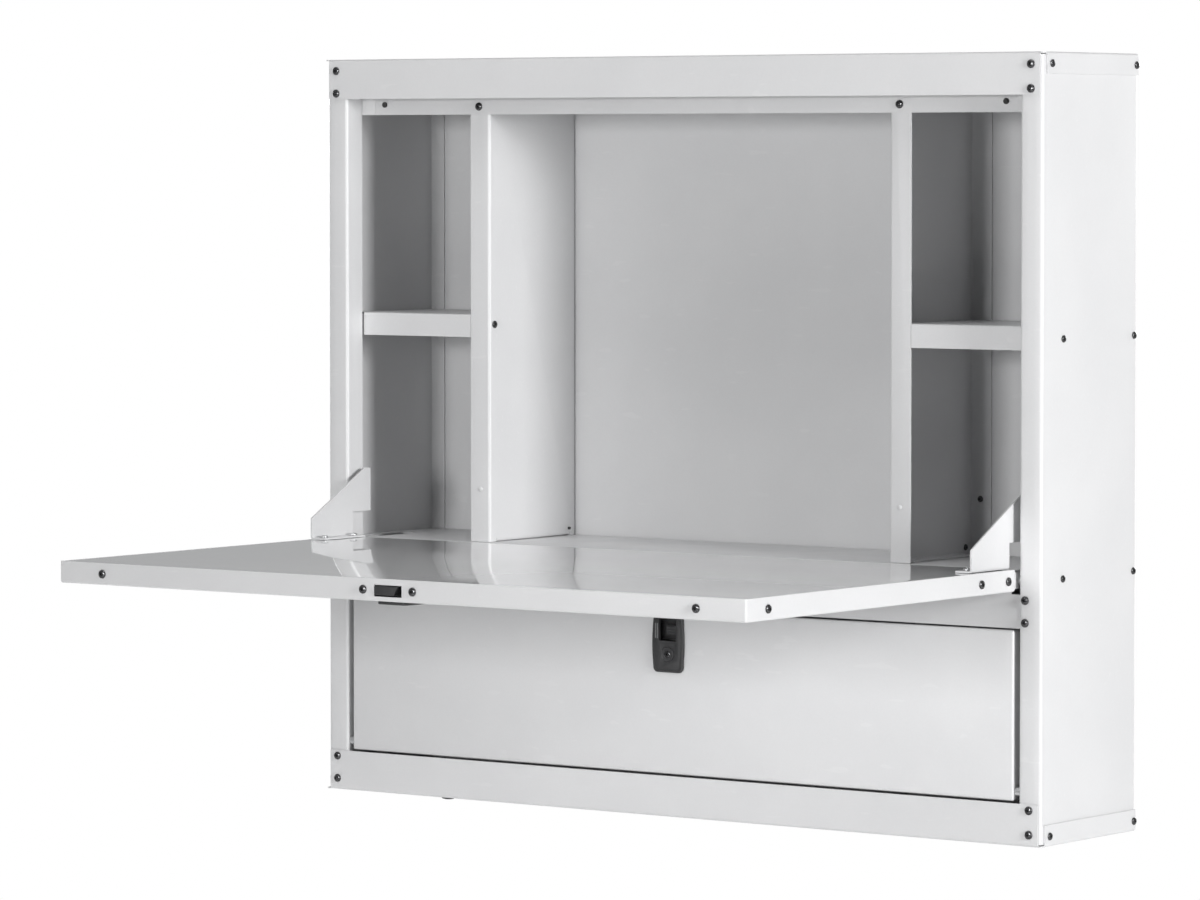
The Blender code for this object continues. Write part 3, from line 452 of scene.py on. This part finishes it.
def screw_mesh(material):
    """A pan-head screw along +Z with a cross recess; its head sits on z = 0."""
    crown = [(HEAD_RADIUS * math.sin(math.radians(a)) * 0.97,
              HEAD_HEIGHT * (0.42 + 0.58 * math.cos(math.radians(a)))) for a in range(0, 91, 10)]
    rim = arc((HEAD_RADIUS - 0.0003, 0.0004), 0.0003, 30, -90, 5)
    shank = [(SHANK_RADIUS, 0.0001), (SHANK_RADIUS, -SHANK_LENGTH), (0, -SHANK_LENGTH)]
    outline = crown + rim + shank
    obj = mesh_object("screw", turned(outline, 36), material)
    cross = bmesh.new()
    for length, width in ((CROSS_LENGTH, CROSS_WIDTH), (CROSS_WIDTH, CROSS_LENGTH)):
        verts = add_box(cross, (-length / 2, -width / 2, HEAD_HEIGHT - CROSS_DEPTH),
                        (length / 2, width / 2, 2 * HEAD_HEIGHT))
        for vert in verts:
            if vert.co.z < HEAD_HEIGHT:
                vert.co.x *= 0.55
                vert.co.y *= 0.55
    boolean(obj, mesh_object("cross", cross, material))
    shade(obj, 40)
    data = obj.data
    bpy.data.objects.remove(obj)
    return data


def rivet_mesh(material):
    """A low domed rivet head along +Z with a rolled rim."""
    outline = arc((0, -0.0052), 0.0060, 90, 68, 8)
    outline += arc((RIVET_RADIUS - 0.0002, 0.0001), 0.0002, 60, -90, 4)
    outline += [(0.0009, 0), (0.0009, -0.003), (0, -0.003)]
    obj = mesh_object("rivet", turned(outline, 32), material)
    shade(obj, 40)
    data = obj.data
    bpy.data.objects.remove(obj)
    return data


def place_screw(name, at, axis, body, scale=1.0, node=None, kind="black_screws"):
    """Set a fastener with its head on a point; each is turned a little further than the last."""
    obj = bpy.data.objects.new(name, fasteners[kind])
    turn = Matrix.Rotation(SCREW_TURN * len(placed_screws), 4, "Z")
    upright = UP.rotation_difference(axis).to_matrix().to_4x4()
    obj.matrix_world = Matrix.Translation(at) @ upright @ turn @ Matrix.Scale(scale, 4)
    bpy.context.scene.collection.objects.link(obj)
    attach(obj, body)
    if node:
        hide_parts(node)
    placed_screws.append(name)


def screw_axis(name, centre):
    """The way that a packed screw's head faces."""
    if name.startswith("stay"):
        return UP
    if name.startswith("arm"):
        return Vector((math.copysign(1, centre.x), 0, 0))
    return FRONT


def replace_screws():
    for name in sorted(n for n in frame["nodes"] if "_screw_" in n):
        low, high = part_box(name)
        centre = (low + high) / 2
        axis = screw_axis(name, centre)
        half = abs(axis.dot(high - low)) / 2
        at = centre + axis * (half - HEAD_ABOVE + SEAT_GAP)
        kind = "bare_steel" if name.startswith("stay") else "black_screws"
        body = frame["nodes"][name]["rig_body"]
        place_screw(name + "_detailed", at, axis, body, node=name, kind=kind)


def add_small_screws():
    """The fasteners too small and too many to be nodes of their own."""
    cap_low, cap_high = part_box("top_cap")
    foot_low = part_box("bottom_cap")[0]
    side_low, side_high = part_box("side_panel_right")
    floor_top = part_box("mid_floor")[1].z
    shelf_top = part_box("shelf_right")[1].z
    flap_low, flap_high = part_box("flap_pan")
    flap_middle = (flap_low.z + flap_high.z) / 2
    divider_low, divider_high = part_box("divider_right")
    front_y = flap_low.y - SEAT_GAP
    for side, sign in SIDES:
        outward = Vector((sign, 0, 0))
        apron_x = sign * (cap_high.x + SEAT_GAP)
        ends = (("top", cap_high.z - TOP_APRON_DROP), ("bottom", foot_low.z + BOTTOM_APRON_RISE))
        places = (("front", cap_low.y + APRON_FRONT), ("rear", cap_high.y - APRON_REAR))
        for (end, z), (place, y) in itertools.product(ends, places):
            place_screw(f"{end}_side_screw_{side}_{place}", (apron_x, y, z), outward, "cabinet",
                        APRON_HEAD)
        panel_x = sign * (side_high.x + SEAT_GAP)
        levels = (("floor", floor_top - PANEL_FLOOR_DROP), ("shelf", shelf_top - PANEL_SHELF_DROP))
        places = (("front", side_low.y + PANEL_FRONT), ("rear", side_high.y - PANEL_REAR))
        for (level, z), (place, y) in itertools.product(levels, places):
            place_screw(f"{level}_side_screw_{side}_{place}", (panel_x, y, z), outward, "cabinet",
                        PANEL_HEAD)
        for part, x in (("front", FLAP_SCREW_OUT), ("latch", FLAP_LATCH_SCREW_OUT)):
            place_screw(f"flap_{part}_screw_{side}", (sign * x, front_y, flap_middle), FRONT, "flap")
        corner = (sign * (flap_high.x + SEAT_GAP), flap_low.y + FLAP_CORNER_FRONT, flap_middle)
        place_screw(f"flap_corner_screw_{side}", corner, outward, "flap")
        web = (sign * (divider_low.x - SEAT_GAP), divider_low.y + WEB_FRONT, shelf_top - WEB_SHELF_DROP)
        place_screw(f"shelf_screw_{side}", web, -outward, "cabinet", APRON_HEAD)
        flange_x = sign * (divider_low.x + divider_high.x) / 2
        rivet = (flange_x, divider_low.y - SEAT_GAP, floor_top + RIVET_RISE)
        place_screw(f"divider_front_rivet_{side}", rivet, FRONT, "cabinet", kind="powder_coat")
        rear = (flange_x, divider_high.y - DIVIDER_SHEET - SEAT_GAP, floor_top + DIVIDER_REAR_RISE)
        place_screw(f"divider_rear_screw_{side}", rear, FRONT, "cabinet", DIVIDER_HEAD)
        foot = (sign * (divider_low.x + DIVIDER_SHEET + SEAT_GAP), divider_high.y - DIVIDER_FOOT_REAR,
                floor_top + DIVIDER_FOOT_RISE)
        place_screw(f"divider_foot_screw_{side}", foot, outward, "cabinet", DIVIDER_HEAD)


def add_rail_tabs():
    """A thin welded tab over each end of the top rail."""
    rail_low, rail_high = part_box("top_rail")
    for side, sign in SIDES:
        mesh = bmesh.new()
        outer = rail_high.x - RAIL_TAB_END
        ends = sorted((sign * outer, sign * (outer - RAIL_TAB_WIDTH)))
        face = rail_low.y - SEAT_GAP
        add_box(mesh, (ends[0], face - RAIL_TAB_SHEET, rail_low.z + RAIL_TAB_RISE),
                (ends[1], face, rail_high.z - RAIL_TAB_DROP))
        tab = bevel(mesh_object("rail_tab_" + side, mesh, paint), SMALL_EDGE, 2)
        shade(tab, 30)
        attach(tab, "cabinet")


def latch_outline(half, top, foot, radius):
    """A latch's outline: round corners and bulged sides, anticlockwise from the lower right."""
    points = []
    corners = ((half, foot, -90), (half, top, 0), (-half, top, 90), (-half, foot, 180))
    for corner_x, corner_y, start in corners:
        inset = radius if corner_y == foot else -radius
        inner = (math.copysign(half - radius, corner_x), corner_y + inset)
        points += arc(inner, radius, start, start + 90, 6)
        if start in (-90, 90):
            side = 1 if start == -90 else -1
            run = (foot + radius, top - radius) if side == 1 else (top - radius, foot + radius)
            for step in range(1, 8):
                share = step / 8
                y = run[0] + (run[1] - run[0]) * share
                points.append((side * (half + LATCH_BULGE * math.sin(math.pi * share)), y))
    return points


def prism(outline, low, high):
    """A closed prism over an outline in X and Y."""
    mesh = bmesh.new()
    face = mesh.faces.new([mesh.verts.new((x, y, low)) for x, y in outline])
    grown = bmesh.ops.extrude_face_region(mesh, geom=[face])["geom"]
    top = [item for item in grown if isinstance(item, bmesh.types.BMVert)]
    bmesh.ops.translate(mesh, vec=(0, 0, high - low), verts=top)
    bmesh.ops.recalc_face_normals(mesh, faces=mesh.faces)
    return mesh


def leaf_frame(prefix):
    """The matrix from a latch's own frame to the desk's: the flap lies open, the door is shut."""
    low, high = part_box(prefix + "_pan")
    if prefix == "flap":
        return Matrix.Translation((0, low.y, low.z)) @ Matrix.Rotation(math.pi, 4, "X")
    return Matrix.Translation((0, low.y, high.z)) @ Matrix.Rotation(math.pi / 2, 4, "X")


def local_box(node, place):
    """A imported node's box in a latch's own frame."""
    low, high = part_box(node)
    ends = [place.inverted() @ corner for corner in (low, high)]
    return Vector(map(min, *ends)), Vector(map(max, *ends))


def make_latch(prefix):
    """The detailed housing, slider and key cylinder of one latch."""
    place = leaf_frame(prefix)
    low, high = local_box(prefix + "_latch_housing", place)
    bolt_low, bolt_high = local_box(prefix + "_latch_bolt", place)
    key_low, key_high = local_box(prefix + "_key_cylinder", place)
    half = high.x - LATCH_BULGE
    pocket = half - POCKET_SIDE
    pocket_top = high.y - POCKET_END
    pocket_foot = bolt_low.y - PLAY
    key = Vector((0, (key_low.y + key_high.y) / 2, 0))
    key_radius = (key_high.x - key_low.x) / 2

    outline = latch_outline(half, high.y, low.y, COVER_RADIUS)
    housing = mesh_object(prefix + "_latch_cover", prism(outline, COVER_GAP, high.z), plastic)
    bevel(housing, LATCH_RIM / 2, 4, 60)
    barrel = bmesh.new()
    add_box(barrel, (-BARREL_HALF, low.y + BARREL_FOOT, low.z + BARREL_FLOOR),
            (BARREL_HALF, pocket_foot - PLAY, BARREL_TOP))
    boolean(housing, mesh_object("barrel", barrel, plastic), "UNION")
    recess = bmesh.new()
    add_box(recess, (-pocket, pocket_foot, -POCKET_DEPTH), (pocket, pocket_top, THROUGH))
    boolean(housing, mesh_object("pocket", recess, plastic))
    outline = latch_outline(half - LATCH_RIM, high.y - LATCH_RIM, low.y + LATCH_RIM, GROOVE_RADIUS)
    groove = mesh_object("groove", prism(outline, high.z - GROOVE_DEPTH, THROUGH), plastic)
    outline = latch_outline(half - LATCH_RIM - GROOVE_WIDTH, high.y - LATCH_RIM - GROOVE_WIDTH,
                            low.y + LATCH_RIM + GROOVE_WIDTH, GROOVE_INNER_RADIUS)
    boolean(groove, mesh_object("groove_inner", prism(outline, -THROUGH, 2 * THROUGH), plastic))
    boolean(housing, groove)
    hole_radius = key_radius + KEY_HOLE_PLAY
    hole = turned([(0, THROUGH), (hole_radius, THROUGH), (hole_radius, -THROUGH), (0, -THROUGH)], 40)
    bmesh.ops.translate(hole, vec=key, verts=hole.verts)
    boolean(housing, mesh_object("key_hole", hole, plastic))
    bevel(housing, COVER_EDGE, 2, 50)
    shade(housing, 30)
    ribs = bmesh.new()
    for offset in RIB_OFFSETS:
        x = -pocket - offset
        add_box(ribs, (x - RIB_HALF, pocket_foot + RIB_FOOT, high.z - RIB_SUNK),
                (x + RIB_HALF, pocket_top - RIB_TOP, high.z + RIB_PROUD))
    # the ribs take the lighter grey plastic whose colour paints on their highlight
    ribs = bevel(mesh_object(prefix + "_latch_ribs", ribs, painted_rib_highlight), SMALL_EDGE, 2)
    shade(ribs, 30)

    slider = make_slider(prefix, bolt_low, bolt_high, pocket, pocket_top, high.z)
    plug, face = make_key(prefix, key, key_radius, key_low.z, key_high.z)
    for obj, body_name, node in ((housing, prefix, "_latch_housing"), (ribs, prefix, None),
                                 (slider, prefix + "_bolt", "_latch_bolt"),
                                 (plug, prefix + "_key", "_key_cylinder"), (face, prefix + "_key", None)):
        obj.matrix_world = place
        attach(obj, body_name)
        if node:
            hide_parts(prefix + node)


def make_slider(prefix, low, high, pocket, pocket_top, top):
    """The bolt: a tongue with a sloped side and a chamfered edge, its slide and the ridged grip."""
    slider = bmesh.new()
    add_box(slider, low, (high.x, high.y - TONGUE_LENGTH, -BOLT_DEPTH))
    slider = mesh_object(prefix + "_latch_slider", slider, plastic)
    right = high.x - TONGUE_SHORT
    outline = [(low.x, low.z), (right, low.z), (right - TONGUE_SLOPE, -BOLT_DEPTH), (low.x, -BOLT_DEPTH)]
    tongue = prism(outline, high.y - TONGUE_LENGTH - 0.001, high.y)
    for vert in tongue.verts:
        vert.co = (vert.co.x, vert.co.z, vert.co.y)
    bmesh.ops.recalc_face_normals(tongue, faces=tongue.faces)
    tip = [edge for edge in tongue.edges
           if all(vert.co.y > high.y - 1e-5 and vert.co.z < low.z + 1e-5 for vert in edge.verts)]
    bmesh.ops.bevel(tongue, geom=tip, affect="EDGES", offset=TONGUE_CHAMFER, segments=1)
    boolean(slider, mesh_object("tongue", tongue, plastic), "UNION")
    grip = bmesh.new()
    grip_low = Vector((-GRIP_LEFT, low.y + GRIP_RAISED, -BOLT_DEPTH - GRIP_ROOT))
    grip_high = Vector((pocket - PLAY, pocket_top - GRIP_END, top - GRIP_SUNK))
    add_box(grip, grip_low, grip_high)
    boolean(slider, mesh_object("grip", grip, plastic), "UNION")
    ridges = bmesh.new()
    for index in range(RIDGE_COUNT):
        y = grip_low.y + (index + 0.6) * (grip_high.y - grip_low.y) / (RIDGE_COUNT + 0.2)
        add_box(ridges, (grip_low.x + RIDGE_IN, y - RIDGE_HALF, grip_high.z - RIDGE_ROOT),
                (grip_high.x - RIDGE_IN, y + RIDGE_HALF, grip_high.z + RIDGE_PROUD))
    boolean(slider, mesh_object("ridges", ridges, plastic), "UNION")
    bevel(slider, SLIDER_EDGE, 3, 50)
    shade(slider, 30)
    return slider


def make_key(prefix, centre, radius, low, face):
    """The key cylinder, and the domed metal disc with a keyhole that is let into it."""
    seat = KEY_DISC + 0.0001
    outline = [(0, face - 0.0008), (seat, face - 0.0008), (seat, face - 0.0001), (seat + 0.0002, face),
               (seat + 0.0007, face), (seat + 0.0009, face - 0.0002), (radius - 0.0010, face - 0.0002)]
    outline += arc((radius - 0.0005, face - 0.0005), 0.0005, 90, 0, 4)
    outline += [(radius, low), (0, low)]
    plug = mesh_object(prefix + "_key_plug", turned(outline, 40), plastic)
    dome = [(KEY_DISC * math.sin(math.radians(a)),
             face - DOME_HEIGHT + DOME_HEIGHT * math.cos(math.radians(a))) for a in range(0, 91, 15)]
    dome += [(KEY_DISC, face - 0.0009), (0, face - 0.0009)]
    disc = mesh_object(prefix + "_key_face", turned(dome, 36), zinc_black)
    slot = bmesh.new()
    add_box(slot, (-0.0005, -0.0021, face - 0.006), (0.0005, 0.0021, face + 0.002))
    add_box(slot, (-0.0012, -0.0004, face - 0.006), (0.0001, 0.0009, face + 0.002))
    slot = mesh_object("slot", slot, plastic)
    other = slot.copy()
    bpy.context.scene.collection.objects.link(other)
    boolean(plug, slot)
    boolean(disc, other)
    for obj in (plug, disc):
        shade(obj, 30)
        obj.data.transform(Matrix.Translation(centre))
    return plug, disc


def material_for(name):
    if name == "work_surface":
        return lacquer
    if any(word in name for word in ("pivot_pin", "spring")):
        return zinc_bright
    if "bumper" in name or "plug" in name:
        return black_rubber
    if "latch" in name or "key" in name:
        return plastic
    if "screw" in name:
        return zinc_black
    return paint


def make_camera():
    data = bpy.data.cameras.new("camera")
    data.sensor_width = 36
    data.lens = CAMERA_LENS
    data.shift_x, data.shift_y = CAMERA_SHIFT
    data.clip_end = 60
    camera = bpy.data.objects.new("camera", data)
    camera.location = CAMERA_AT
    camera.rotation_euler = (math.radians(90 + CAMERA_PITCH), 0, math.radians(CAMERA_YAW))
    bpy.context.scene.collection.objects.link(camera)
    bpy.context.scene.camera = camera


def add_light(name, at, target, size, power):
    data = bpy.data.lights.new(name, "AREA")
    data.shape = "RECTANGLE"
    data.size, data.size_y = size
    data.energy = power
    light = bpy.data.objects.new(name, data)
    light.location = at
    light.rotation_euler = (Vector(target) - Vector(at)).to_track_quat("-Z", "Y").to_euler()
    bpy.context.scene.collection.objects.link(light)


def make_studio():
    """White surround, a pale floor well below the desk and five soft boxes round it."""
    scene = bpy.context.scene
    scene.view_settings.view_transform = "Standard"
    world = bpy.data.worlds.new("studio")
    scene.world = world
    world.use_nodes = True
    nodes, links = world.node_tree.nodes, world.node_tree.links
    shown = nodes["Background"]
    shown.inputs["Color"].default_value = (1, 1, 1, 1)
    path = nodes.new("ShaderNodeLightPath")
    below = shown
    for ray, strength in (("Is Glossy Ray", MIRRORED), ("Is Diffuse Ray", AMBIENT)):
        other = nodes.new("ShaderNodeBackground")
        other.inputs["Color"].default_value = (0.98, 0.99, 1.0, 1)
        other.inputs["Strength"].default_value = strength
        mix = nodes.new("ShaderNodeMixShader")
        links.new(path.outputs[ray], mix.inputs["Fac"])
        links.new(below.outputs[0], mix.inputs[1])
        links.new(other.outputs["Background"], mix.inputs[2])
        below = mix
    links.new(below.outputs["Shader"], nodes["World Output"].inputs["Surface"])

    mesh = bmesh.new()
    bmesh.ops.create_circle(mesh, cap_ends=True, segments=96, radius=FLOOR_RADIUS)
    bmesh.ops.translate(mesh, vec=(0, 0, FLOOR_LEVEL), verts=mesh.verts)
    floor = mesh_object("studio_floor", mesh, floor_paint())

    add_light("front", (0.05, -4.2, 0.38), (0, 0, 0), (1.0, 0.8), 78)
    add_light("side", (4.0, -1.0, 0.60), (0, 0, 0), (0.8, 1.1), 156)
    add_light("top", (0.2, -1.0, 2.4), (0, -0.1, 0), (1.6, 1.2), 22)
    add_light("behind", (0.1, 4.4, 0.9), (0, 0, 0), (1.8, 1.4), 70)
    add_light("behind_left", (-4.0, 1.2, 0.8), (0, 0, 0), (1.4, 1.4), 80)


paint = powder_coat()
lacquer = gloss_lacquer()
plastic = black_plastic()
zinc_black = black_zinc()
zinc_bright = bright_zinc()
black_rubber = rubber()
painted_rib_highlight = rib_highlight_plastic()
smooth_group = smooth_by_angle(math.radians(32))
placed_screws = []

make_camera()
make_studio()
for node_name in sorted(frame["nodes"]):
    finish_node(node_name, material_for(node_name))
fasteners = {"black_screws": screw_mesh(zinc_black), "bare_steel": screw_mesh(zinc_bright),
             "powder_coat": rivet_mesh(paint)}
replace_screws()
add_small_screws()
add_rail_tabs()
for leaf in ("flap", "door"):
    make_latch(leaf)
